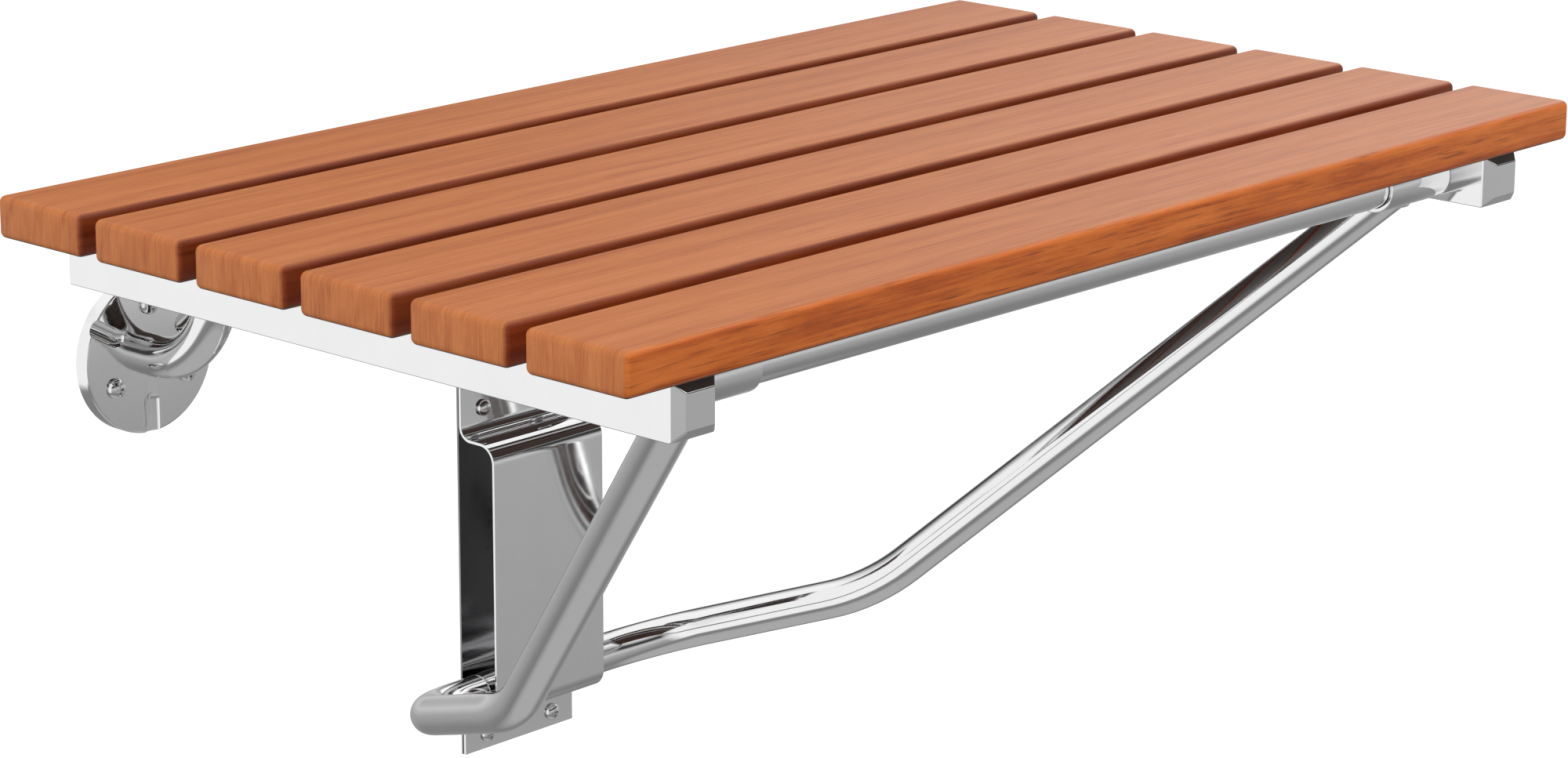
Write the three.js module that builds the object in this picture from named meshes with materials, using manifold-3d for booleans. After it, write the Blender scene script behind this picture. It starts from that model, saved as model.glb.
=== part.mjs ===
// A slatted shower seat that folds up against a wall. Millimetres, +Z up.
// The wall is the plane Y = 0, the seat reaches out along -Y, and X = 0 is its middle.
// The origin is the centre of the guide's flat back, on the wall.
import * as THREE from 'three';
import { RoundedBoxGeometry } from 'three/addons/geometries/RoundedBoxGeometry.js';
import { mergeVertices } from 'three/addons/utils/BufferGeometryUtils.js';
import Module from 'manifold-3d';

// ---- Fits ----
const TOUCH_GAP = 0.3; // between two pieces that touch on the real seat
const HOLE_CLEARANCE = 0.3; // radial, a screw or tube in its hole
const SLEEVE_SLAT_GAP = 0.8; // between a sleeve and the slats over it
const CHANNEL_CLEARANCE = 2.05; // radial, the crossbar in the guide's channel
const CROSSBAR_REST_GAP = 1.4; // between the crossbar and the bottom of the channel
const CUT_OVERRUN = 1; // how far a cutter passes the face it cuts

// ---- Seat ----
const SEAT_LENGTH = 660;
const SEAT_DEPTH = 395;
const SEAT_TOP = 247; // height of the sitting face above the origin
const SEAT_WALL_GAP = 14.7;
const SLAT_COUNT = 6;
const SLAT_GAP = 9.6;
const SLAT_THICK = 19.7;
const SLAT_EDGE_RADIUS = 3.3;
const SLAT_EDGE_STEPS = 1;

// ---- Rails under the slats ----
const RAIL_SIDE = 26;
const RAIL_WALL = 1.8;
const RAIL_INSET = 33.6; // from the end of the seat to the rail's outer face
const RAIL_FRONT_INSET = 4.5; // from the seat's front edge to the rail's bevelled end
const RAIL_REAR_INSET = 7.3; // from the seat's rear edge to the rail's square end
const RAIL_BEVEL = 5;
const RAIL_END_WALL = 2;

// ---- Tubes ----
const TUBE_RADIUS = 10;
const TUBE_WALL = 1.6;
const FRONT_BAR_INSET = 40; // from the front edge of the seat to the front bar's axis
const SLEEVE_WALL = 1.9;
const SLEEVE_LENGTH = 48;

// ---- Swinging leg ----
const LEG_TOP_INSET = 20.7; // from the rail's inner face to the middle of the leg's top
const KNEE_X = 128;
const KNEE_OUT = 133.1; // from the wall
const KNEE_Z = -20.5;
const KNEE_RADIUS = 118;
const FOOT_X = 84.8;
const FOOT_RADIUS = 48.6;
const CROSSBAR_Z = -63.3;

// ---- Wall arms and flanges ----
const ARM_INSET = 30.4; // from the rail's inner face to the arm's axis
const ARM_STRAIGHT = 12.7;
const ARM_BEND_RADIUS = 45;
const ARM_WALL_GAP = 0.5;
const FLANGE_Z = 154.5;
const FLANGE_RADIUS = 37.6;
const FLANGE_THICK = 7.9;
const FLANGE_EDGE = 0.9;
const FLANGE_SCREW_CIRCLE = 24.5;
const FLANGE_SCREW_COUNT = 3;
const GROOVE_RADIUS = 5.2;
const GROOVE_DEPTH = 2.5;
const GROOVE_START = 17.5; // from the middle of the flange

// ---- Guide that keeps the crossbar ----
const GUIDE_WIDTH = 76.8;
const GUIDE_HEIGHT = 198;
const GUIDE_BACK_THICK = 1.2;
const STRAP_THICK = 1.6;
const STRAP_TOP = 70.4;
const STRAP_TAB_RADIUS = 7;
const STRAP_FRONT_RADIUS = 9.2;
const GUIDE_SCREW_X = 23;
const GUIDE_SCREW_TOP = 83.5;
const GUIDE_SCREW_BOTTOM = -91;
const GUIDE_BAR_OVERHANG = 0.4; // past each side of the strap

// ---- Screws ----
const WALL_SCREW = { headRadius: 4.9, headHeight: 3.4, shankRadius: 2.2 };
const GUIDE_SCREW = { headRadius: 4.3, headHeight: 3, shankRadius: 2 };
const SLAT_SCREW = { headRadius: 4.2, headHeight: 2.2, shankRadius: 2.1 };
const SLAT_SCREW_BITE = 11;
const PILOT_TIP_ROOM = 1;
const RECESS_WIDTH = 1.1;
const RECESS_SPAN = 4.4;
const RECESS_DEPTH = 1.3;

// ---- Smoothness ----
const ROUND_SIDES = 24;
const BORE_SIDES = 14;
const SCREW_SIDES = 10;
const FLANGE_SIDES = 48;
const BEND_STEP = Math.PI / 15;

// ---- Worked out from the sizes above ----
const SLAT_WIDTH = (SEAT_DEPTH - (SLAT_COUNT - 1) * SLAT_GAP) / SLAT_COUNT;
const RAIL_TOP = SEAT_TOP - SLAT_THICK - TOUCH_GAP;
const RAIL_BOTTOM = RAIL_TOP - RAIL_SIDE;
const RAIL_X = SEAT_LENGTH / 2 - RAIL_INSET - RAIL_SIDE / 2;
const RAIL_INNER_X = RAIL_X - RAIL_SIDE / 2;
const RAIL_LENGTH = SEAT_DEPTH - RAIL_FRONT_INSET - RAIL_REAR_INSET;
const RAIL_Y = -(SEAT_WALL_GAP + RAIL_REAR_INSET + RAIL_LENGTH / 2);
const RAIL_Z = (RAIL_TOP + RAIL_BOTTOM) / 2;
const BAR_HALF_LENGTH = RAIL_INNER_X - TOUCH_GAP;
const TUBE_BORE = TUBE_RADIUS - TUBE_WALL;
const FRONT_BAR_Y = -(SEAT_WALL_GAP + SEAT_DEPTH - FRONT_BAR_INSET);
const PIVOT_Y = -(ARM_STRAIGHT + ARM_BEND_RADIUS);
const SLEEVE_BORE = TUBE_RADIUS + HOLE_CLEARANCE;
const SLEEVE_RADIUS = SLEEVE_BORE + SLEEVE_WALL;
const BAR_Z = SEAT_TOP - SLAT_THICK - SLEEVE_SLAT_GAP - SLEEVE_RADIUS;
const SLEEVE_OUTER_X = RAIL_INNER_X - TOUCH_GAP;
const SLEEVE_INNER_X = SLEEVE_OUTER_X - SLEEVE_LENGTH;
const ARM_X = RAIL_INNER_X - ARM_INSET;
const CROSSBAR_Y = -(GUIDE_BACK_THICK + CHANNEL_CLEARANCE + TUBE_RADIUS);
const STRAP_DEPTH = GUIDE_BACK_THICK + 2 * (CHANNEL_CLEARANCE + TUBE_RADIUS) + STRAP_THICK;
const STRAP_BOTTOM = CROSSBAR_Z - TUBE_RADIUS - CROSSBAR_REST_GAP - STRAP_THICK;
const GUIDE_BAR_HALF = GUIDE_WIDTH / 2 + GUIDE_BAR_OVERHANG;
const TAB_FRONT = GUIDE_BACK_THICK + TOUCH_GAP + STRAP_THICK;

// ---- Materials ----
const TEAK = { color: 0xb9683a, roughness: 0.5, metalness: 0 };
const CHROME = { color: 0xd9dadc, roughness: 0.12, metalness: 1 };
const DARK_STEEL = { color: 0x8d8f93, roughness: 0.2, metalness: 1 };

const wasm = await Module();
wasm.setup();

/** A closed three.js geometry as a manifold-3d body. */
function solid(geometry) {
  geometry.deleteAttribute('normal');
  geometry.deleteAttribute('uv');
  const merged = mergeVertices(geometry, 1e-4);
  return new wasm.Manifold(
    new wasm.Mesh({
      numProp: 3,
      vertProperties: merged.attributes.position.array,
      triVerts: Uint32Array.from(merged.index.array),
    }),
  );
}

/** A manifold-3d body as a three.js geometry. */
function geometryOf(body) {
  const mesh = body.getMesh();
  const geometry = new THREE.BufferGeometry();
  geometry.setAttribute('position', new THREE.BufferAttribute(mesh.vertProperties, 3));
  geometry.setIndex(new THREE.BufferAttribute(mesh.triVerts, 1));
  geometry.computeVertexNormals();
  return geometry;
}

/** A path through corner points with round bends, and a station only where it turns. */
class BentPath extends THREE.Curve {
  constructor(corners, radii) {
    super();
    const first = corners[1].clone().sub(corners[0]).normalize();
    this.stations = [{ point: corners[0].clone(), tangent: first }];
    radii.forEach((radius, i) => this.addBend(corners[i], corners[i + 1], corners[i + 2], radius));
    const end = corners[corners.length - 1];
    const last = end.clone().sub(corners[corners.length - 2]).normalize();
    this.stations.push({ point: end.clone(), tangent: last });
  }

  addBend(before, corner, after, radius) {
    const into = corner.clone().sub(before).normalize();
    const out = after.clone().sub(corner).normalize();
    const turn = into.angleTo(out);
    const side = out.clone().addScaledVector(into, -out.dot(into)).normalize();
    const start = corner.clone().addScaledVector(into, -radius * Math.tan(turn / 2));
    const centre = start.clone().addScaledVector(side, radius);
    const steps = Math.max(2, Math.ceil(turn / BEND_STEP));
    for (let k = 0; k <= steps; k += 1) {
      const angle = (turn * k) / steps;
      const point = centre.clone().addScaledVector(side, -radius * Math.cos(angle));
      point.addScaledVector(into, radius * Math.sin(angle));
      const tangent = into.clone().multiplyScalar(Math.cos(angle));
      tangent.addScaledVector(side, Math.sin(angle));
      this.stations.push({ point, tangent });
    }
  }

  get steps() {
    return this.stations.length - 1;
  }

  getUtoTmapping(u) {
    return u;
  }

  getPoint(t, target = new THREE.Vector3()) {
    const place = t * this.steps;
    const i = Math.min(Math.floor(place), this.steps - 1);
    return target.lerpVectors(this.stations[i].point, this.stations[i + 1].point, place - i);
  }

  getTangent(t, target = new THREE.Vector3()) {
    return target.copy(this.stations[Math.round(t * this.steps)].tangent);
  }
}

/** A solid round bar along a path. */
function roundAlong(path, radius, sides) {
  const circle = new THREE.Shape();
  circle.absarc(0, 0, radius, 0, 2 * Math.PI);
  const options = { steps: path.steps, curveSegments: sides / 2, extrudePath: path };
  return solid(new THREE.ExtrudeGeometry(circle, options));
}

/** A turned piece from [radius, height] points, about the Y axis. */
function turned(points, sides) {
  return new THREE.LatheGeometry(points.map(([r, y]) => new THREE.Vector2(r, y)), sides);
}

/** A tube between two heights about the Y axis. */
function ring(outer, inner, from, to, sides) {
  return turned([[inner, from], [outer, from], [outer, to], [inner, to], [inner, from]], sides);
}

/** A solid cylinder with its axis along a unit vector, centred at a point. */
function pin(radius, length, axis, centre, sides) {
  const geometry = new THREE.CylinderGeometry(radius, radius, length, sides);
  const turn = new THREE.Quaternion().setFromUnitVectors(new THREE.Vector3(0, 1, 0), axis);
  geometry.applyQuaternion(turn);
  geometry.translate(centre.x, centre.y, centre.z);
  return solid(geometry);
}

/** Subtracts every cutter from a body. */
function cut(body, cutters) {
  return cutters.reduce((rest, cutter) => rest.subtract(cutter), body);
}

/** A pan head screw with a crossed recess. Its head points along `facing` from `seat`. */
function screw({ headRadius, headHeight, shankRadius }, shankLength, facing, seat) {
  const dome = [
    [headRadius, headHeight * 0.3],
    [headRadius * 0.75, headHeight * 0.85],
    [0, headHeight],
  ];
  const profile = [[0, -shankLength], [shankRadius, -shankLength], [shankRadius, 0], [headRadius, 0]];
  const blank = solid(turned([...profile, ...dome], SCREW_SIDES));
  const slots = [0, Math.PI / 2].map((angle) => {
    const slot = new THREE.BoxGeometry(RECESS_SPAN, 2 * RECESS_DEPTH, RECESS_WIDTH);
    slot.rotateY(angle);
    slot.translate(0, headHeight, 0);
    return solid(slot);
  });
  const geometry = geometryOf(cut(blank, slots));
  const turn = new THREE.Quaternion().setFromUnitVectors(new THREE.Vector3(0, 1, 0), facing);
  geometry.applyQuaternion(turn);
  geometry.translate(seat.x, seat.y, seat.z);
  return geometry;
}

const ALONG_X = new THREE.Vector3(1, 0, 0);
const OUTWARD = new THREE.Vector3(0, -1, 0);
const UPWARD = new THREE.Vector3(0, 0, 1);
const DOWNWARD = new THREE.Vector3(0, 0, -1);
const SIDES = [['left', -1], ['right', 1]];

const seat = new THREE.Group();
seat.name = 'fold_up_shower_seat';

function add(name, geometry, look) {
  const mesh = new THREE.Mesh(geometry, new THREE.MeshStandardMaterial(look));
  mesh.name = name;
  seat.add(mesh);
}

function slatY(i) {
  return -(SEAT_WALL_GAP + SLAT_WIDTH / 2 + i * (SLAT_WIDTH + SLAT_GAP));
}

// Slats, with a blind pilot hole over each rail
const slatBottom = SEAT_TOP - SLAT_THICK;
for (let i = 0; i < SLAT_COUNT; i += 1) {
  const plank = new RoundedBoxGeometry(
    SEAT_LENGTH, SLAT_WIDTH, SLAT_THICK, SLAT_EDGE_STEPS, SLAT_EDGE_RADIUS,
  );
  plank.translate(0, slatY(i), SEAT_TOP - SLAT_THICK / 2);
  const pilotDepth = SLAT_SCREW_BITE + PILOT_TIP_ROOM;
  const pilots = SIDES.map(([, side]) => {
    const middle = slatBottom + (pilotDepth - CUT_OVERRUN) / 2;
    const centre = new THREE.Vector3(side * RAIL_X, slatY(i), middle);
    const radius = SLAT_SCREW.shankRadius + HOLE_CLEARANCE;
    return pin(radius, pilotDepth + CUT_OVERRUN, UPWARD, centre, SCREW_SIDES);
  });
  add(`slat_${i + 1}`, geometryOf(cut(solid(plank), pilots)), TEAK);
}

// Rails: closed square tube, bevelled in front, with a screw hole under each slat
for (const [label, side] of SIDES) {
  const half = RAIL_SIDE / 2;
  const end = RAIL_LENGTH / 2;
  const corner = half * Math.SQRT2;
  const bevelled = (half - RAIL_BEVEL) * Math.SQRT2;
  const profile = [
    [0, -end],
    [bevelled, -end],
    [corner, -end + RAIL_BEVEL],
    [corner, end],
    [0, end],
  ].map(([r, y]) => new THREE.Vector2(r, y));
  const outside = new THREE.LatheGeometry(profile, 4, Math.PI / 4);
  const hollow = RAIL_SIDE - 2 * RAIL_WALL;
  const hollowLength = RAIL_LENGTH - 2 * (RAIL_BEVEL + RAIL_END_WALL);
  const inside = new THREE.BoxGeometry(hollow, hollowLength, hollow);
  for (const geometry of [outside, inside]) {
    geometry.translate(side * RAIL_X, RAIL_Y, RAIL_Z);
  }
  const holes = Array.from({ length: SLAT_COUNT }, (_, i) => {
    const centre = new THREE.Vector3(side * RAIL_X, slatY(i), RAIL_Z);
    const radius = SLAT_SCREW.shankRadius + HOLE_CLEARANCE;
    return pin(radius, RAIL_SIDE + 2 * CUT_OVERRUN, UPWARD, centre, SCREW_SIDES);
  });
  add(`rail_${label}`, geometryOf(cut(solid(outside), [solid(inside), ...holes])), CHROME);
  for (let i = 0; i < SLAT_COUNT; i += 1) {
    const place = new THREE.Vector3(side * RAIL_X, slatY(i), RAIL_BOTTOM - TOUCH_GAP);
    const length = slatBottom + SLAT_SCREW_BITE - place.z;
    add(`slat_screw_${label}_${i + 1}`, screw(SLAT_SCREW, length, DOWNWARD, place), CHROME);
  }
}

// Bars between the rails: the front one carries the leg, the rear one is the fold pivot
for (const [name, y] of [['front_bar', FRONT_BAR_Y], ['rear_bar', PIVOT_Y]]) {
  const bar = ring(TUBE_RADIUS, TUBE_BORE, -BAR_HALF_LENGTH, BAR_HALF_LENGTH, ROUND_SIDES);
  bar.rotateZ(-Math.PI / 2);
  bar.translate(0, y, BAR_Z);
  add(name, geometryOf(solid(bar)), CHROME);
}

/** A bent tube welded to a sleeve that turns on a bar, hollow from end to end. */
function tubeWithSleeve(corners, radii, openEnd, side, y) {
  const outside = roundAlong(new BentPath(corners, radii), TUBE_RADIUS, ROUND_SIDES);
  const boreCorners = [...corners.slice(0, -1), openEnd];
  const bore = roundAlong(new BentPath(boreCorners, radii), TUBE_BORE, BORE_SIDES);
  const middle = new THREE.Vector3((side * (SLEEVE_OUTER_X + SLEEVE_INNER_X)) / 2, y, BAR_Z);
  const sleeve = pin(SLEEVE_RADIUS, SLEEVE_LENGTH, ALONG_X, middle, ROUND_SIDES);
  const sleeveCut = SLEEVE_LENGTH + 2 * CUT_OVERRUN;
  const sleeveBore = pin(SLEEVE_BORE, sleeveCut, ALONG_X, middle, ROUND_SIDES);
  return geometryOf(cut(outside.add(sleeve), [sleeveBore, bore]));
}

// Swinging leg: two bent tubes that meet the short bar inside the guide
for (const [label, side] of SIDES) {
  const corners = [
    new THREE.Vector3(side * (RAIL_INNER_X - LEG_TOP_INSET), FRONT_BAR_Y, BAR_Z),
    new THREE.Vector3(side * KNEE_X, -KNEE_OUT, KNEE_Z),
    new THREE.Vector3(side * FOOT_X, CROSSBAR_Y, CROSSBAR_Z),
    new THREE.Vector3(side * (GUIDE_BAR_HALF + TOUCH_GAP), CROSSBAR_Y, CROSSBAR_Z),
  ];
  const openEnd = corners[3].clone();
  openEnd.x -= side * CUT_OVERRUN;
  const geometry = tubeWithSleeve(corners, [KNEE_RADIUS, FOOT_RADIUS], openEnd, side, FRONT_BAR_Y);
  add(`leg_${label}`, geometry, CHROME);
}

const guideBar = ring(TUBE_RADIUS, TUBE_BORE, -GUIDE_BAR_HALF, GUIDE_BAR_HALF, ROUND_SIDES);
guideBar.rotateZ(-Math.PI / 2);
guideBar.translate(0, CROSSBAR_Y, CROSSBAR_Z);
add('guide_bar', geometryOf(solid(guideBar)), CHROME);

// Wall arms: an elbow from each flange up to a sleeve round the rear bar
for (const [label, side] of SIDES) {
  const corners = [
    new THREE.Vector3(side * ARM_X, PIVOT_Y, BAR_Z),
    new THREE.Vector3(side * ARM_X, PIVOT_Y, FLANGE_Z),
    new THREE.Vector3(side * ARM_X, -ARM_WALL_GAP, FLANGE_Z),
  ];
  const openEnd = corners[2].clone();
  openEnd.y += CUT_OVERRUN;
  const geometry = tubeWithSleeve(corners, [ARM_BEND_RADIUS], openEnd, side, PIVOT_Y);
  add(`wall_arm_${label}`, geometry, CHROME);
}

// Wall flanges: a disc with a socket for the arm, and radial grooves between its screws
for (const [label, side] of SIDES) {
  const socket = TUBE_RADIUS + HOLE_CLEARANCE;
  const disc = turned([
    [socket, 0],
    [FLANGE_RADIUS, 0],
    [FLANGE_RADIUS, FLANGE_THICK - FLANGE_EDGE],
    [FLANGE_RADIUS - FLANGE_EDGE * 0.3, FLANGE_THICK - FLANGE_EDGE * 0.3],
    [FLANGE_RADIUS - FLANGE_EDGE, FLANGE_THICK],
    [socket, FLANGE_THICK],
    [socket, 0],
  ], FLANGE_SIDES);
  const screwAngles = Array.from({ length: FLANGE_SCREW_COUNT }, (_, i) => (
    Math.PI / 2 + (i * 2 * Math.PI) / FLANGE_SCREW_COUNT
  ));
  const grooves = screwAngles.map((screwAngle) => {
    const angle = screwAngle + Math.PI / FLANGE_SCREW_COUNT;
    const length = FLANGE_RADIUS - GROOVE_START;
    const groove = new THREE.CapsuleGeometry(GROOVE_RADIUS, length, 5, BORE_SIDES);
    groove.translate(0, GROOVE_START + GROOVE_RADIUS + length / 2, 0);
    groove.rotateZ(angle - Math.PI / 2);
    groove.rotateX(-Math.PI / 2);
    groove.translate(0, FLANGE_THICK - GROOVE_DEPTH + GROOVE_RADIUS, 0);
    return solid(groove);
  });
  const screwPlaces = screwAngles.map((angle) => {
    const x = side * ARM_X + FLANGE_SCREW_CIRCLE * Math.cos(angle);
    return new THREE.Vector3(x, 0, FLANGE_Z + FLANGE_SCREW_CIRCLE * Math.sin(angle));
  });
  const plate = geometryOf(cut(solid(disc), grooves));
  plate.rotateX(Math.PI);
  plate.translate(side * ARM_X, 0, FLANGE_Z);
  const holes = screwPlaces.map((place) => {
    const radius = WALL_SCREW.shankRadius + HOLE_CLEARANCE;
    return pin(radius, 2 * (FLANGE_THICK + CUT_OVERRUN), OUTWARD, place, SCREW_SIDES);
  });
  add(`wall_flange_${label}`, geometryOf(cut(solid(plate), holes)), CHROME);
  screwPlaces.forEach((place, i) => {
    const head = place.clone().setY(-(FLANGE_THICK + TOUCH_GAP));
    const length = FLANGE_THICK;
    add(`flange_screw_${label}_${i + 1}`, screw(WALL_SCREW, length, OUTWARD, head), CHROME);
  });
}

// Guide: a back plate on the wall and a strap bent round the crossbar
const guideScrews = [
  ['top_left', -GUIDE_SCREW_X, GUIDE_SCREW_TOP],
  ['top_right', GUIDE_SCREW_X, GUIDE_SCREW_TOP],
  ['bottom_left', -GUIDE_SCREW_X, GUIDE_SCREW_BOTTOM],
  ['bottom_right', GUIDE_SCREW_X, GUIDE_SCREW_BOTTOM],
];
const guideHoles = guideScrews.map(([, x, z]) => {
  const radius = GUIDE_SCREW.shankRadius + HOLE_CLEARANCE;
  const length = 2 * (TAB_FRONT + CUT_OVERRUN);
  return pin(radius, length, OUTWARD, new THREE.Vector3(x, 0, z), SCREW_SIDES);
});

const back = new THREE.BoxGeometry(GUIDE_WIDTH, GUIDE_BACK_THICK, GUIDE_HEIGHT);
back.translate(0, -GUIDE_BACK_THICK / 2, 0);
add('guide_back', geometryOf(cut(solid(back), guideHoles)), DARK_STEEL);

const tabLine = TAB_FRONT - STRAP_THICK / 2;
const frontLine = STRAP_DEPTH - STRAP_THICK / 2;
const topLine = STRAP_TOP - STRAP_THICK / 2;
const bottomLine = STRAP_BOTTOM + STRAP_THICK / 2;
const strapLine = new BentPath(
  [
    new THREE.Vector3(tabLine, GUIDE_HEIGHT / 2, 0),
    new THREE.Vector3(tabLine, topLine, 0),
    new THREE.Vector3(frontLine, topLine, 0),
    new THREE.Vector3(frontLine, bottomLine, 0),
    new THREE.Vector3(tabLine, bottomLine, 0),
    new THREE.Vector3(tabLine, -GUIDE_HEIGHT / 2, 0),
  ],
  [STRAP_TAB_RADIUS, STRAP_FRONT_RADIUS, STRAP_FRONT_RADIUS, STRAP_TAB_RADIUS],
);
const strapSides = [1, -1].map((face) => strapLine.stations.map(({ point, tangent }) => {
  const offset = (face * STRAP_THICK) / 2;
  return new THREE.Vector2(point.x - tangent.y * offset, point.y + tangent.x * offset);
}));
const strapOutline = new THREE.Shape([...strapSides[0], ...strapSides[1].reverse()]);
const strap = new THREE.ExtrudeGeometry(strapOutline, { depth: GUIDE_WIDTH, bevelEnabled: false });
strap.translate(0, 0, -GUIDE_WIDTH / 2);
strap.rotateX(Math.PI / 2);
strap.rotateZ(-Math.PI / 2);
add('guide_strap', geometryOf(cut(solid(strap), guideHoles)), CHROME);
for (const [label, x, z] of guideScrews) {
  const head = new THREE.Vector3(x, -(TAB_FRONT + TOUCH_GAP), z);
  add(`guide_screw_${label}`, screw(GUIDE_SCREW, TAB_FRONT, OUTWARD, head), CHROME);
}

export default seat;
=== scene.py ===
"""A teak shower seat that folds up against a wall, built around the CAD frame.

Every size is in metres. The wall is the plane Y = 0 and the seat reaches out along -Y.
"""

import math

import bmesh
import bpy
from mathutils import Matrix, Vector


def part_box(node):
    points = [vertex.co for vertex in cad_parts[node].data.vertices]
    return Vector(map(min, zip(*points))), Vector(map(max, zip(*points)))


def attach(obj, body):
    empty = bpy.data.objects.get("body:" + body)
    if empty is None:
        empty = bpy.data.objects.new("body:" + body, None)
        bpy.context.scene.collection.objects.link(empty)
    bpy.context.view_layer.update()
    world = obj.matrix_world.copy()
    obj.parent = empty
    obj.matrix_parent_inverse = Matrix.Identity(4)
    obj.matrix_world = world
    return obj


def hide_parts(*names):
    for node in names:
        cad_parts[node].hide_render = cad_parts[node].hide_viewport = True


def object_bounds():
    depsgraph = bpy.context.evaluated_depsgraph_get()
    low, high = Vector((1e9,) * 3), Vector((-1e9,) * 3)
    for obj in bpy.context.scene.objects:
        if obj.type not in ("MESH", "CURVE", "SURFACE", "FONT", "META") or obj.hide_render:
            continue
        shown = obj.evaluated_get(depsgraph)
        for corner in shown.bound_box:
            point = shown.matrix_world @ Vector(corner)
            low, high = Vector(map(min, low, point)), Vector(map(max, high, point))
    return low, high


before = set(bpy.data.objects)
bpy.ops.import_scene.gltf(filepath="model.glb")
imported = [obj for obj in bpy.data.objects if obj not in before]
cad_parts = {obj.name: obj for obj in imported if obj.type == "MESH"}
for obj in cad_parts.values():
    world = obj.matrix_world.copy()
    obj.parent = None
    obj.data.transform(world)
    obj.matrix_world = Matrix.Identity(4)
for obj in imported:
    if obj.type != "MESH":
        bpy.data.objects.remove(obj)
cad_box = [list(corner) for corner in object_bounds()]
SIDES = (("left", -1), ("right", 1))
X, Y, Z = Vector((1, 0, 0)), Vector((0, 1, 0)), Vector((0, 0, 1))

# ---------------------------------------------------------------- driving sizes
SLAT_EDGE = 0.0033
RAIL_BEVEL = 0.005
RAIL_EDGE = 0.0006
TUBE_RADIUS = 0.01
TUBE_BORE = 0.0084
SLEEVE_RADIUS = 0.0122
SLEEVE_BORE = 0.0103
SLEEVE_LENGTH = 0.048
END_GAP = 0.0003
LEG_TOP_INSET = 0.0207
KNEE = Vector((0.128, -0.1331, -0.0205))
KNEE_RADIUS = 0.118
FOOT_X = 0.0848
FOOT_RADIUS = 0.0486
ARM_BEND_RADIUS = 0.045
ARM_WALL_GAP = 0.0005
HAIR = 0.000001
GROOVE_RADIUS = 0.0052
GROOVE_ANGLES = (math.radians(30), math.radians(150), math.radians(270))
GROOVE_DEPTH = 0.0025
GROOVE_START = 0.0175
STRAP_THICK = 0.0016
STRAP_TOP = 0.0704
STRAP_BOTTOM = -0.0763
STRAP_TAB_RADIUS = 0.007
STRAP_FRONT_RADIUS = 0.0092
WELD_RADIUS = 0.0013
MM = 0.001
TUBE_SIDES = 48
LATHE_SIDES = 64
DISC_SIDES = 128
SCREW_SIDES = 40
TUBE_EDGE = 0.0004
SLEEVE_EDGE = 0.0005
PAST_BORE = 1.02

# ---------------------------------------------------------------- camera
YAW, PITCH, ROLL = math.radians(46.861), math.radians(14.813), math.radians(0.080)
STAND_POINT = Vector((-1.51938, -1.58853, 0.69785))

camera_data = bpy.data.cameras.new("camera")
camera_data.sensor_width = 36
camera_data.lens = 102.6684
camera_data.shift_x = 0.0233
camera_data.shift_y = -0.0292
camera = bpy.data.objects.new("camera", camera_data)
turn = Matrix.Rotation(-YAW, 4, "Z") @ Matrix.Rotation(math.pi / 2 - PITCH, 4, "X")
camera.matrix_world = Matrix.Translation(STAND_POINT) @ turn @ Matrix.Rotation(ROLL, 4, "Z")
bpy.context.scene.collection.objects.link(camera)
bpy.context.scene.camera = camera


# ---------------------------------------------------------------- node helpers
def add_node(tree, kind, **inputs):
    """A shader node. Inputs are values or sockets, by name, or input_0 and so on by place."""
    properties = inputs.pop("props", {})
    node = tree.nodes.new(kind)
    for name, value in properties.items():
        setattr(node, name, value)
    for name, value in inputs.items():
        place = int(name.split("_")[1]) if name.startswith("input_") else name.replace("_", " ")
        socket = node.inputs[place]
        if isinstance(value, bpy.types.NodeSocket):
            tree.links.new(value, socket)
        else:
            socket.default_value = value
    return node


def maths(tree, operation, *values):
    sockets = {f"input_{i}": v for i, v in enumerate(values)}
    return add_node(tree, "ShaderNodeMath", props={"operation": operation}, **sockets).outputs[0]


def ramp(tree, factor, stops):
    """A colour ramp through (position, colour) stops."""
    node = add_node(tree, "ShaderNodeValToRGB", input_0=factor)
    elements = node.color_ramp.elements
    while len(elements) < len(stops):
        elements.new(0.5)
    for element, (position, colour) in zip(elements, stops):
        element.position = position
        element.color = (*colour, 1)
    return node.outputs[0]


def new_material(name):
    material = bpy.data.materials.new(name)
    material.use_nodes = True
    tree = material.node_tree
    return material, tree, tree.nodes["Principled BSDF"]


def stretched_noise(tree, place, stretch, detail, distortion=0.0):
    """Noise on coordinates multiplied by stretch, which are features per metre along each axis."""
    scaled = add_node(
        tree, "ShaderNodeVectorMath", props={"operation": "MULTIPLY"}, input_0=place, input_1=stretch,
    )
    noise = add_node(
        tree, "ShaderNodeTexNoise", Vector=scaled.outputs[0], Scale=1.0, Detail=detail, Roughness=0.6,
        Distortion=distortion,
    )
    return noise.outputs["Fac"]


# ---------------------------------------------------------------- materials
TEAK_RAMP = [
    (0.28, (0.550, 0.184, 0.049)),
    (0.40, (0.470, 0.141, 0.032)),
    (0.50, (0.37, 0.094, 0.020)),
    (0.68, (0.19, 0.040, 0.012)),
]
# Painted shade: dark greyish browns for downward faces, so the seat's underside reads as in shadow.
UNDERSIDE_SHADE_RAMP = [(0.3, (0.075, 0.046, 0.034)), (0.6, (0.03, 0.018, 0.013))]
# Painted light: brightens and warms the side faces of the front slat, as if more strongly lit.
FRONT_LIGHT_TINT = (1.38, 1.1, 0.72, 1)
# Painted shade: darkens and reddens the side faces of slats 1 to 5, where they face each other across the
# gaps.
GAP_SHADE_TINT = (0.5, 0.3, 0.26, 1)
PORE_BROWN = (0.2, 0.045, 0.012, 1)
RING_COUNT = 62
RING_WARP = 16.0
LAST_SLAT = 6


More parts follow.
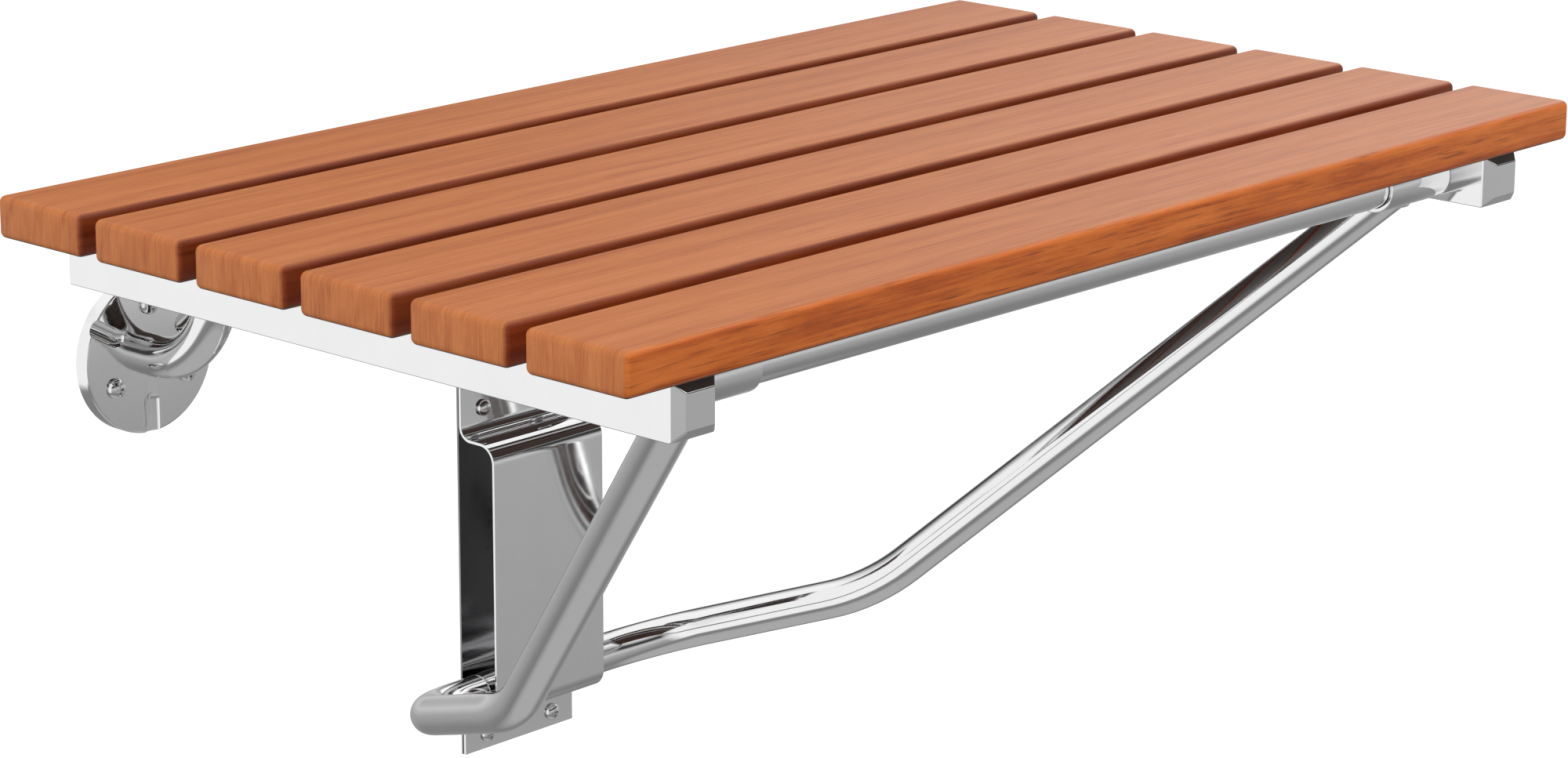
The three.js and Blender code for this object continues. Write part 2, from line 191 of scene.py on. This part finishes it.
def teak(index):
    """Oiled teak with its grain along X. Each slat is cut from another part of the plank."""
    material, tree, shader = new_material(f"teak_{index}")
    texture_coords = add_node(tree, "ShaderNodeTexCoord")
    coords, normals = texture_coords.outputs["Object"], texture_coords.outputs["Normal"]
    shift = (index * 0.737, index * 0.291, index * 0.173)
    place = add_node(
        tree, "ShaderNodeVectorMath", props={"operation": "ADD"}, input_0=coords, input_1=shift,
    ).outputs[0]
    parts = add_node(tree, "ShaderNodeSeparateXYZ", input_0=place)
    tilt = math.radians(9 + (index * 7) % 17)
    across = maths(
        tree, "ADD",
        maths(tree, "MULTIPLY", parts.outputs["Y"], math.cos(tilt)),
        maths(tree, "MULTIPLY", parts.outputs["Z"], math.sin(tilt)),
    )
    warp = stretched_noise(tree, place, (2.2, 22, 22), 3, 0.3)
    phase = maths(
        tree, "ADD",
        maths(tree, "MULTIPLY", across, 2 * math.pi * RING_COUNT),
        maths(tree, "MULTIPLY", warp, RING_WARP),
    )
    rings = maths(tree, "MULTIPLY_ADD", maths(tree, "SINE", phase), 0.5, 0.5)
    fibre = stretched_noise(tree, place, (24, 1050, 70), 5)
    streak = stretched_noise(tree, place, (6, 250, 40), 4, 0.5)
    edge_streak = stretched_noise(tree, place, (8, 60, 300), 5, 0.6)
    pores = stretched_noise(tree, place, (55, 2300, 1500), 2)
    broad = stretched_noise(tree, place, (2.4, 26, 30), 2)
    normal = add_node(tree, "ShaderNodeSeparateXYZ", input_0=normals)
    sideways = maths(tree, "ABSOLUTE", normal.outputs["Y"])
    on_edge = ramp(tree, sideways, [(0.3, (0, 0, 0)), (0.8, (1, 1, 1))])

    tone = maths(tree, "MULTIPLY", rings, 0.05)
    for source, weight in ((fibre, 0.36), (streak, 0.24), (broad, 0.14)):
        tone = maths(tree, "MULTIPLY_ADD", source, weight, tone)
    extra = maths(tree, "MULTIPLY_ADD", edge_streak, 0.62, -0.27)
    tone = maths(tree, "MULTIPLY_ADD", extra, on_edge, tone)
    colour = ramp(tree, tone, TEAK_RAMP)
    # Painted light on the front slat's side faces, painted shade on the slat sides in the gaps.
    side_light_and_shade = add_node(
        tree, "ShaderNodeMix", props={"data_type": "RGBA", "blend_type": "MULTIPLY"},
        input_0=on_edge, input_6=colour, input_7=FRONT_LIGHT_TINT if index == LAST_SLAT else GAP_SHADE_TINT,
    ).outputs[2]
    pore_mask = ramp(tree, pores, [(0.58, (0, 0, 0)), (0.7, (1, 1, 1))])
    dash = stretched_noise(tree, place, (30, 60, 700), 4)
    dashes = ramp(tree, dash, [(0.56, (0, 0, 0)), (0.68, (1, 1, 1))])
    pore_mask = maths(tree, "MULTIPLY_ADD", maths(tree, "MULTIPLY", dashes, on_edge), 2.2, pore_mask)
    pored = add_node(
        tree, "ShaderNodeMix", props={"data_type": "RGBA"},
        input_0=maths(tree, "MULTIPLY", pore_mask, 0.28), input_6=side_light_and_shade, input_7=PORE_BROWN,
    )
    # Painted shade: faces turned downward take the dark underside colours.
    down = maths(tree, "MULTIPLY", normal.outputs["Z"], -1.0)
    underside_shaded = add_node(
        tree, "ShaderNodeMix", props={"data_type": "RGBA"}, input_6=pored.outputs[2],
        input_0=ramp(tree, down, [(0.55, (0, 0, 0)), (0.8, (1, 1, 1))]),
        input_7=ramp(tree, tone, UNDERSIDE_SHADE_RAMP),
    )
    tree.links.new(underside_shaded.outputs[2], shader.inputs["Base Color"])
    tree.links.new(maths(tree, "MULTIPLY_ADD", fibre, 0.14, 0.36), shader.inputs["Roughness"])
    height = maths(tree, "MULTIPLY_ADD", pores, -0.35, maths(tree, "MULTIPLY_ADD", streak, 0.35, fibre))
    bump = add_node(tree, "ShaderNodeBump", Strength=0.22, Distance=0.0004, Height=height)
    tree.links.new(bump.outputs[0], shader.inputs["Normal"])
    shader.inputs["Specular IOR Level"].default_value = 0.36
    return material


def polished(name, bright, roughness, waviness=0.012):
    """Polished metal with faint haze, and a skin that isn't quite flat."""
    material, tree, shader = new_material(name)
    coords = add_node(tree, "ShaderNodeTexCoord").outputs["Object"]
    haze = stretched_noise(tree, coords, (38, 38, 38), 4)
    brushed = stretched_noise(tree, coords, (420, 420, 420), 2)
    tint = ramp(tree, haze, [
        (0.3, tuple(c * 0.965 for c in bright)),
        (0.7, bright),
    ])
    tree.links.new(tint, shader.inputs["Base Color"])
    shader.inputs["Metallic"].default_value = 1.0
    rough = maths(tree, "MULTIPLY_ADD", haze, roughness * 0.9, roughness * 0.55)
    rough = maths(tree, "MULTIPLY_ADD", brushed, roughness * 0.25, rough)
    tree.links.new(rough, shader.inputs["Roughness"])
    bump = add_node(tree, "ShaderNodeBump", Strength=waviness, Distance=0.001, Height=haze)
    tree.links.new(bump.outputs[0], shader.inputs["Normal"])
    return material


chrome = polished("chrome", (0.9, 0.9, 0.905), 0.05)
# Dark steel for the guide's back plate: its darkness is painted shade for the channel behind the strap.
guide_steel = polished("guide_steel", (0.3, 0.3, 0.305), 0.1)
screw_steel = polished("screw_steel", (0.87, 0.87, 0.875), 0.07)


# ---------------------------------------------------------------- mesh helpers
def finish_mesh(bm, name, material, sharp=35):
    """Turns a bmesh into a smooth shaded object."""
    bmesh.ops.recalc_face_normals(bm, faces=bm.faces)
    mesh = bpy.data.meshes.new(name)
    bm.to_mesh(mesh)
    bm.free()
    mesh.shade_smooth()
    mesh.set_sharp_from_angle(angle=math.radians(sharp))
    mesh.materials.append(material)
    obj = bpy.data.objects.new(name, mesh)
    bpy.context.scene.collection.objects.link(obj)
    return obj


def soften(obj, width, segments=3, angle=30):
    """Rounds an object's sharp edges."""
    bevel = obj.modifiers.new("soft_edges", "BEVEL")
    bevel.width = width
    bevel.segments = segments
    bevel.limit_method = "ANGLE"
    bevel.angle_limit = math.radians(angle)
    bevel.harden_normals = True
    return obj


def bake(obj, name):
    """A mesh with the object's modifiers applied."""
    graph = bpy.context.evaluated_depsgraph_get()
    mesh = bpy.data.meshes.new_from_object(obj.evaluated_get(graph))
    mesh.name = name
    return mesh


def cut_away(obj, cutters):
    """Applies boolean cuts and removes the cutters."""
    for cutter in cutters:
        modifier = obj.modifiers.new("cut", "BOOLEAN")
        modifier.object = cutter
        modifier.operation = "DIFFERENCE"
        modifier.solver = "EXACT"
    mesh = bake(obj, obj.data.name)
    obj.modifiers.clear()
    obj.data = mesh
    for cutter in cutters:
        bpy.data.objects.remove(cutter)
    return obj


def lathe(name, profile, sides, material, sharp=35):
    """Turns (radius, height) points about Z. The profile ends on the axis or closes on itself."""
    bm = bmesh.new()
    rows = []
    for radius, height in profile:
        if radius < 1e-7:
            rows.append([bm.verts.new((0, 0, height))])
            continue
        angles = [2 * math.pi * k / sides for k in range(sides)]
        rows.append([bm.verts.new((radius * math.cos(a), radius * math.sin(a), height)) for a in angles])
    closed = len(rows[0]) > 1
    for i in range(len(rows) - (0 if closed else 1)):
        a, b = rows[i], rows[(i + 1) % len(rows)]
        for k in range(sides):
            corners = [a[k % len(a)], a[(k + 1) % len(a)], b[(k + 1) % len(b)], b[k % len(b)]]
            bm.faces.new(list(dict.fromkeys(corners)))
    return finish_mesh(bm, name, material, sharp)


def rounded_ring(outer, inner, low, high, edge):
    """The profile of a tube with its outer edges rounded."""
    steps = 4
    points = [(inner, low)]
    for k in range(steps + 1):
        a = math.pi / 2 * k / steps
        points.append((outer - edge + edge * math.sin(a), low + edge - edge * math.cos(a)))
    for k in range(steps + 1):
        a = math.pi / 2 * k / steps
        points.append((outer - edge + edge * math.cos(a), high - edge + edge * math.sin(a)))
    points.append((inner, high))
    return points


def bent_path(corners, radii, step=math.radians(3)):
    """(point, direction) stations along straight lines with round bends."""
    stations = [(corners[0], (corners[1] - corners[0]).normalized())]
    for i, radius in enumerate(radii):
        into = (corners[i + 1] - corners[i]).normalized()
        out = (corners[i + 2] - corners[i + 1]).normalized()
        turn = into.angle(out)
        side = (out - into * out.dot(into)).normalized()
        centre = corners[i + 1] - into * radius * math.tan(turn / 2) + side * radius
        count = max(2, math.ceil(turn / step))
        for k in range(count + 1):
            a = turn * k / count
            point = centre - side * radius * math.cos(a) + into * radius * math.sin(a)
            stations.append((point, into * math.cos(a) + side * math.sin(a)))
    stations.append((corners[-1], (corners[-1] - corners[-2]).normalized()))
    return stations


def sweep(name, stations, section, material, closed=False, sharp=35):
    """Carries a closed loop of (side, up) section points along stations, without twisting."""
    bm = bmesh.new()
    direction = stations[0][1]
    up = (Z - direction * Z.dot(direction)).normalized() if abs(direction.z) < 0.9 else X.copy()
    rows = []
    for point, tangent in stations:
        up = (up - tangent * up.dot(tangent)).normalized()
        side = tangent.cross(up)
        rows.append([bm.verts.new(point + side * s + up * u) for s, u in section])
    count = len(section)
    for i in range(len(rows) if closed else len(rows) - 1):
        a, b = rows[i], rows[(i + 1) % len(rows)]
        for k in range(count):
            bm.faces.new((a[k], a[(k + 1) % count], b[(k + 1) % count], b[k]))
    if not closed:
        bm.faces.new(rows[0])
        bm.faces.new(rows[-1])
    return finish_mesh(bm, name, material, sharp)


def circle(radius, sides):
    angles = [2 * math.pi * k / sides for k in range(sides)]
    return [(radius * math.cos(a), radius * math.sin(a)) for a in angles]


def tube_along(name, stations, material):
    """An open tube of the frame's section, with a wall at its ends."""
    bm = bmesh.new()
    sides = TUBE_SIDES
    direction = stations[0][1]
    up = (Z - direction * Z.dot(direction)).normalized() if abs(direction.z) < 0.9 else X.copy()
    loops = {TUBE_RADIUS: [], TUBE_BORE: []}
    for point, tangent in stations:
        up = (up - tangent * up.dot(tangent)).normalized()
        side = tangent.cross(up)
        for radius, rows in loops.items():
            rows.append([bm.verts.new(point + side * s + up * u) for s, u in circle(radius, sides)])
    for rows in loops.values():
        for a, b in zip(rows, rows[1:]):
            for k in range(sides):
                bm.faces.new((a[k], a[(k + 1) % sides], b[(k + 1) % sides], b[k]))
    for end in (0, -1):
        outer, inner = loops[TUBE_RADIUS][end], loops[TUBE_BORE][end]
        for k in range(sides):
            bm.faces.new((outer[k], outer[(k + 1) % sides], inner[(k + 1) % sides], inner[k]))
    return finish_mesh(bm, name, material)


def place(obj, centre, toward=Z):
    """Turns an object's Z to a direction and moves it to a point."""
    obj.matrix_world = Matrix.Translation(centre) @ Z.rotation_difference(toward).to_matrix().to_4x4()
    return obj


def stand_for(obj, body, slot, *nodes):
    """The piece rides on a body and replaces CAD nodes. The slot argument is not used."""
    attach(obj, body)
    if nodes:
        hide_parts(*nodes)
    return obj


def middle(node):
    low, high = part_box(node)
    return (low + high) / 2


# ---------------------------------------------------------------- slats
def slat(index):
    """A plank with every edge rounded, exactly in the CAD slat's box."""
    low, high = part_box(f"slat_{index}")
    size = high - low
    bm = bmesh.new()
    bmesh.ops.create_cube(bm, size=1)
    bmesh.ops.scale(bm, vec=size, verts=bm.verts)
    bmesh.ops.translate(bm, vec=(low + high) / 2, verts=bm.verts)
    bmesh.ops.bevel(
        bm, geom=bm.edges[:], offset=SLAT_EDGE, segments=6, profile=0.5, affect="EDGES", clamp_overlap=True,
    )
    obj = finish_mesh(bm, f"teak_slat_{index}", teak(index), sharp=60)
    return stand_for(obj, "seat", "teak", f"slat_{index}")


for number in range(1, LAST_SLAT + 1):
    slat(number)


# ---------------------------------------------------------------- rails
def rail(label):
    """Square tube with a bevelled end in front, a square one at the back, and softened edges."""
    low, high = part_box(f"rail_{label}")
    centre, size = (low + high) / 2, high - low
    half, end = size.x / 2, size.y / 2
    bm = bmesh.new()
    rows = []
    for y, inset in ((-end, RAIL_BEVEL), (-end + RAIL_BEVEL, 0), (end, 0)):
        reach = half - inset
        corners = ((-reach, -reach), (reach, -reach), (reach, reach), (-reach, reach))
        rows.append([bm.verts.new(centre + Vector((x, y, z))) for x, z in corners])
    for a, b in zip(rows, rows[1:]):
        for k in range(4):
            bm.faces.new((a[k], a[(k + 1) % 4], b[(k + 1) % 4], b[k]))
    bm.faces.new(rows[0])
    bm.faces.new(rows[-1])
    obj = soften(finish_mesh(bm, f"chrome_rail_{label}", chrome, 20), RAIL_EDGE, 3, 20)
    return stand_for(obj, "seat", "chrome_tube", f"rail_{label}")


for side_name, _ in SIDES:
    rail(side_name)


# ---------------------------------------------------------------- bars and sleeves
def bar_along_x(node, name, body):
    low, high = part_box(node)
    half = (high.x - low.x) / 2
    obj = lathe(name, rounded_ring(TUBE_RADIUS, TUBE_BORE, -half, half, TUBE_EDGE), LATHE_SIDES, chrome)
    place(obj, middle(node), X)
    return stand_for(obj, body, "chrome_tube", node)


bar_along_x("front_bar", "chrome_front_bar", "seat")
bar_along_x("rear_bar", "chrome_rear_bar", "seat")
bar_along_x("guide_bar", "chrome_guide_bar", "guide_bar")
FRONT = middle("front_bar")
REAR = middle("rear_bar")
CROSSBAR = middle("guide_bar")
SLEEVE_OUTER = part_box("front_bar")[1].x


def sleeve(name, axis_point, side, body):
    """The sleeve that turns on a bar, from the rail inwards."""
    half = SLEEVE_LENGTH / 2
    obj = lathe(name, rounded_ring(SLEEVE_RADIUS, SLEEVE_BORE, -half, half, SLEEVE_EDGE), LATHE_SIDES, chrome)
    centre = Vector((side * (SLEEVE_OUTER - SLEEVE_LENGTH / 2), axis_point.y, axis_point.z))
    place(obj, centre, X)
    return stand_for(obj, body, "chrome_tube")


def weld(name, start, direction, axis_point, body):
    """A weld bead where a tube that leaves a bar's axis comes out of the sleeve round it."""
    helper = Z if abs(direction.z) < 0.9 else X
    u = direction.cross(helper).normalized()
    v = direction.cross(u)
    points = []
    count = LATHE_SIDES
    for k in range(count):
        a = 2 * math.pi * k / count
        edge = start + (u * math.cos(a) + v * math.sin(a)) * TUBE_RADIUS
        dy, dz = edge.y - axis_point.y, edge.z - axis_point.z
        qa = direction.y ** 2 + direction.z ** 2
        qb = 2 * (dy * direction.y + dz * direction.z)
        qc = dy * dy + dz * dz - SLEEVE_RADIUS ** 2
        reach = (-qb + math.sqrt(max(0.0, qb * qb - 4 * qa * qc))) / (2 * qa)
        points.append(edge + direction * reach)
    stations = [
        (p, (points[(i + 1) % count] - points[i - 1]).normalized()) for i, p in enumerate(points)
    ]
    obj = sweep(name, stations, circle(WELD_RADIUS, 12), chrome, closed=True)
    return stand_for(obj, body, "chrome_tube")


# ---------------------------------------------------------------- leg
def leg(label, side):
    """One bent half of the swinging leg, with its sleeve and weld."""
    top = Vector((side * (SLEEVE_OUTER + END_GAP - LEG_TOP_INSET), FRONT.y, FRONT.z))
    knee = Vector((side * KNEE.x, KNEE.y, KNEE.z))
    foot = Vector((side * FOOT_X, CROSSBAR.y, CROSSBAR.z))
    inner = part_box(f"leg_{label}")[0 if side > 0 else 1].x
    end = Vector((inner, CROSSBAR.y, CROSSBAR.z))
    stations = bent_path([top, knee, foot, end], [KNEE_RADIUS, FOOT_RADIUS])
    direction = stations[0][1]
    stations[0] = (top + direction * SLEEVE_BORE * PAST_BORE, direction)
    obj = tube_along(f"chrome_leg_{label}", stations, chrome)
    stand_for(obj, "leg", "chrome_tube", f"leg_{label}")
    sleeve(f"chrome_leg_sleeve_{label}", FRONT, side, "leg")
    weld(f"leg_weld_{label}", top, direction, FRONT, "leg")


for side_name, sign in SIDES:
    leg(side_name, sign)


# ---------------------------------------------------------------- wall arms and flanges
def wall_arm(label, side):
    flange = middle(f"wall_flange_{label}")
    top = Vector((flange.x, REAR.y, REAR.z))
    bend = Vector((flange.x, REAR.y, flange.z))
    end = Vector((flange.x, -ARM_WALL_GAP, flange.z))
    stations = bent_path([top, bend, end], [ARM_BEND_RADIUS])
    stations[0] = (top - Z * SLEEVE_BORE * PAST_BORE, stations[0][1])
    obj = tube_along(f"chrome_arm_{label}", stations, chrome)
    stand_for(obj, "wall_mount", "chrome_tube", f"wall_arm_{label}")
    sleeve(f"chrome_arm_sleeve_{label}", REAR, side, "wall_mount")
    weld(f"arm_weld_{label}", top, -Z, REAR, "wall_mount")


def capsule(name, radius, start, end, material):
    """A round-ended rod between two points."""
    length = (end - start).length
    steps = 8
    profile = [(radius * math.cos(a), radius * math.sin(a)) for a in
               (-math.pi / 2 + math.pi / 2 * k / steps for k in range(steps + 1))]
    profile += [(radius * math.cos(a), length + radius * math.sin(a)) for a in
                (math.pi / 2 * k / steps for k in range(steps + 1))]
    profile[0], profile[-1] = (0, -radius), (0, length + radius)
    return place(lathe(name, profile, 32, material), start, (end - start).normalized())


def wall_flange(label):
    """A disc with a rounded rim, a socket for the arm and half-round grooves with soft edges."""
    node = f"wall_flange_{label}"
    low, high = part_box(node)
    radius, thick = (high.x - low.x) / 2, high.y - low.y
    rim, bore = 0.0011, TUBE_RADIUS - 0.0002
    steps = 5
    profile = [(bore, 0), (radius, 0)]
    for k in range(steps + 1):
        a = math.pi / 2 * k / steps
        profile.append((radius - rim + rim * math.cos(a), thick - rim + rim * math.sin(a)))
    profile.append((bore, thick))
    disc = lathe(f"chrome_flange_{label}", profile, DISC_SIDES, chrome)
    place(disc, Vector((middle(node).x, -HAIR, middle(node).z)), -Y)
    face = Vector((middle(node).x, -thick, middle(node).z))
    lift = -Y * (GROOVE_RADIUS - GROOVE_DEPTH)
    cutters = []
    for i, angle in enumerate(GROOVE_ANGLES):
        out = X * math.cos(angle) + Z * math.sin(angle)
        start = face + lift + out * (GROOVE_START + GROOVE_RADIUS)
        cutters.append(capsule(f"groove_{i}", GROOVE_RADIUS, start, start + out * radius, chrome))
    bpy.context.view_layer.update()
    cut_away(disc, cutters)
    disc.data.shade_smooth()
    disc.data.set_sharp_from_angle(angle=math.radians(30))
    soften(disc, 0.0005, 3, 28)
    stand_for(disc, "wall_mount", "chrome_tube", node)


for side_name, sign in SIDES:
    wall_arm(side_name, sign)
    wall_flange(side_name)


# ---------------------------------------------------------------- guide
def guide_strap():
    """The bent strap: one strip with rounded bends and softened edges."""
    low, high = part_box("guide_strap")
    half = STRAP_THICK / 2
    tab, front = high.y - half, low.y + half
    corners = [
        Vector((0, tab, high.z)),
        Vector((0, tab, STRAP_TOP - half)),
        Vector((0, front, STRAP_TOP - half)),
        Vector((0, front, STRAP_BOTTOM + half)),
        Vector((0, tab, STRAP_BOTTOM + half)),
        Vector((0, tab, low.z)),
    ]
    radii = [STRAP_TAB_RADIUS, STRAP_FRONT_RADIUS, STRAP_FRONT_RADIUS, STRAP_TAB_RADIUS]
    bm = bmesh.new()
    rows = []
    for point, direction in bent_path(corners, radii, math.radians(6)):
        out = direction.cross(X)
        corners_here = ((low.x, half), (high.x, half), (high.x, -half), (low.x, -half))
        rows.append([bm.verts.new(point + X * x + out * o) for x, o in corners_here])
    for a, b in zip(rows, rows[1:]):
        for k in range(4):
            bm.faces.new((a[k], a[(k + 1) % 4], b[(k + 1) % 4], b[k]))
    bm.faces.new(rows[0])
    bm.faces.new(rows[-1])
    obj = soften(finish_mesh(bm, "chrome_guide_strap", chrome, 40), 0.00035, 2, 60)
    return stand_for(obj, "wall_mount", "chrome_tube", "guide_strap")


guide_strap()
back_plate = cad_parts["guide_back"]
# The back plate's dark colour paints the shade inside the strap's channel.
back_plate.data.materials[0] = guide_steel
soften(back_plate, 0.0002, 2)


# ---------------------------------------------------------------- screws
def screw_mesh(name, head_radius, head_height, shank_radius, length):
    """A pan head screw along Z with its head's seat at 0 and a crossed recess."""
    steps = 10
    profile = [(0, -length), (shank_radius, -length), (shank_radius, 0), (head_radius, 0)]
    for k in range(steps + 1):
        a = math.pi / 2 * k / steps
        profile.append((head_radius * math.cos(a), head_height * (0.22 + 0.78 * math.sin(a))))
    profile[-1] = (0, head_height)
    blank = lathe(name, profile, SCREW_SIDES, screw_steel, 40)
    bm = bmesh.new()
    arms = []
    for along in (Vector((2.3, 0.62, 1.4)), Vector((0.62, 2.3, 1.4))):
        bmesh.ops.create_cube(bm, size=2, matrix=Matrix.Diagonal((*(along * MM), 1)))
        arms.append(finish_mesh(bm, f"{name}_slot", screw_steel))
        arms[-1].location.z = head_height
        bm = bmesh.new()
    bm.free()
    bpy.context.view_layer.update()
    cut_away(blank, arms)
    blank.data.shade_smooth()
    blank.data.set_sharp_from_angle(angle=math.radians(35))
    mesh = blank.data
    bpy.data.objects.remove(blank)
    return mesh


SCREW_KINDS = {
    "flange_screw": (-Y, "wall_mount", 3.4 * MM, 2.2 * MM),
    "guide_screw": (-Y, "wall_mount", 3.0 * MM, 2.0 * MM),
    "slat_screw": (-Z, "seat", 2.2 * MM, 2.1 * MM),
}
for kind, (outward, body_name, head_height, shank_radius) in SCREW_KINDS.items():
    names = sorted(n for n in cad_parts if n.startswith(kind))
    low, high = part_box(names[0])
    axis = 1 if outward == -Y else 2
    head_radius = (high.z - low.z if axis == 1 else high.y - low.y) / 2
    length = high[axis] - low[axis] - head_height
    mesh = screw_mesh(kind, head_radius, head_height, shank_radius, length)
    for node in names:
        obj = bpy.data.objects.new(f"steel_{node}", mesh)
        bpy.context.scene.collection.objects.link(obj)
        seat_point = middle(node)
        seat_point[axis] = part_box(node)[0][axis] + head_height
        place(obj, seat_point, outward)
        stand_for(obj, body_name, "screw_steel", node)

# ---------------------------------------------------------------- floor, light and world
FLOOR_DROP = 0.42
FLOOR_SIZE = 14.0
bm = bmesh.new()
bmesh.ops.create_grid(bm, x_segments=8, y_segments=8, size=FLOOR_SIZE)
bmesh.ops.translate(bm, vec=(0, 2, cad_box[0][2] - FLOOR_DROP), verts=bm.verts)
floor_material, floor_tree, floor_shader = new_material("pale_floor")
floor_shader.inputs["Base Color"].default_value = (0.93, 0.93, 0.93, 1)
floor_shader.inputs["Roughness"].default_value = 0.9
floor_shader.inputs["Emission Color"].default_value = (1, 1, 1, 1)
floor_shader.inputs["Emission Strength"].default_value = 0.25
floor = finish_mesh(bm, "floor", floor_material)
floor.visible_glossy = False
floor.visible_diffuse = False


def area_light(name, location, target, size, power, glossy):
    data = bpy.data.lights.new(name, "AREA")
    data.shape = "RECTANGLE"
    data.size, data.size_y = size
    data.energy = power
    light = bpy.data.objects.new(name, data)
    direction = Vector(target) - Vector(location)
    aim = direction.to_track_quat("-Z", "Y").to_matrix().to_4x4()
    light.matrix_world = Matrix.Translation(location) @ aim
    light.visible_glossy = glossy
    bpy.context.scene.collection.objects.link(light)
    return light


area_light("top_light", (-0.5, -0.6, 2.4), (0, -0.2, 0.2), (2.6, 2.6), 14, False)
area_light("front_light", (0.7, -2.3, 0.9), (0, -0.2, 0.1), (2.2, 1.6), 12, False)
area_light("left_light", (-2.3, -0.2, 0.8), (0, -0.2, 0.1), (1.8, 1.6), 10, False)

world = bpy.data.worlds.new("studio")
bpy.context.scene.world = world
world.use_nodes = True
tree = world.node_tree
background = tree.nodes["Background"]
direction = add_node(tree, "ShaderNodeTexCoord").outputs["Generated"]
parts = add_node(tree, "ShaderNodeSeparateXYZ", input_0=direction)
SOFTBOX = Vector((-0.95, 0.31, 0))
RIGHT_BOX = Vector((0.93, 0.28, 0.24))
height = maths(tree, "MULTIPLY_ADD", parts.outputs["Z"], 0.5, 0.5)
STUDIO_LEVELS = (
    (0.0, 0.43), (0.075, 0.42), (0.14, 0.22), (0.19, 0.24), (0.275, 0.33),
    (0.375, 0.40), (0.475, 0.60), (0.54, 0.40), (0.58, 0.05), (0.66, 0.05), (0.82, 1.0),
)
base = ramp(tree, height, [(spot, (level,) * 3) for spot, level in STUDIO_LEVELS])


def facing(box):
    """How nearly the studio direction points at a light box."""
    dot = {"operation": "DOT_PRODUCT"}
    node = add_node(tree, "ShaderNodeVectorMath", props=dot, input_0=direction, input_1=box)
    return node.outputs["Value"]


in_box = maths(
    tree, "MULTIPLY",
    ramp(tree, facing(SOFTBOX), [(0.38, (0, 0, 0)), (0.7, (1, 1, 1))]),
    ramp(tree, height, [(0.21, (0, 0, 0)), (0.25, (1, 1, 1))]),
)
grey = add_node(
    tree, "ShaderNodeMix", props={"data_type": "RGBA"},
    input_0=in_box, input_6=base, input_7=(0.96, 0.96, 0.96, 1),
)
right_glow = maths(
    tree, "MULTIPLY",
    ramp(tree, facing(RIGHT_BOX), [(0.87, (0, 0, 0)), (0.98, (1, 1, 1))]),
    ramp(tree, height, [(0.54, (0, 0, 0)), (0.58, (1, 1, 1))]),
)
lit = add_node(
    tree, "ShaderNodeMix", props={"data_type": "RGBA"},
    input_0=right_glow, input_6=grey.outputs[2], input_7=(1.9, 1.9, 1.9, 1),
)
is_camera = add_node(tree, "ShaderNodeLightPath").outputs["Is Camera Ray"]
seen = add_node(
    tree, "ShaderNodeMix", props={"data_type": "RGBA"},
    input_0=is_camera, input_6=lit.outputs[2], input_7=(1, 1, 1, 1),
)
tree.links.new(seen.outputs[2], background.inputs["Color"])

bpy.context.scene.view_settings.view_transform = "Standard"
bpy.context.scene.view_settings.look = "None"
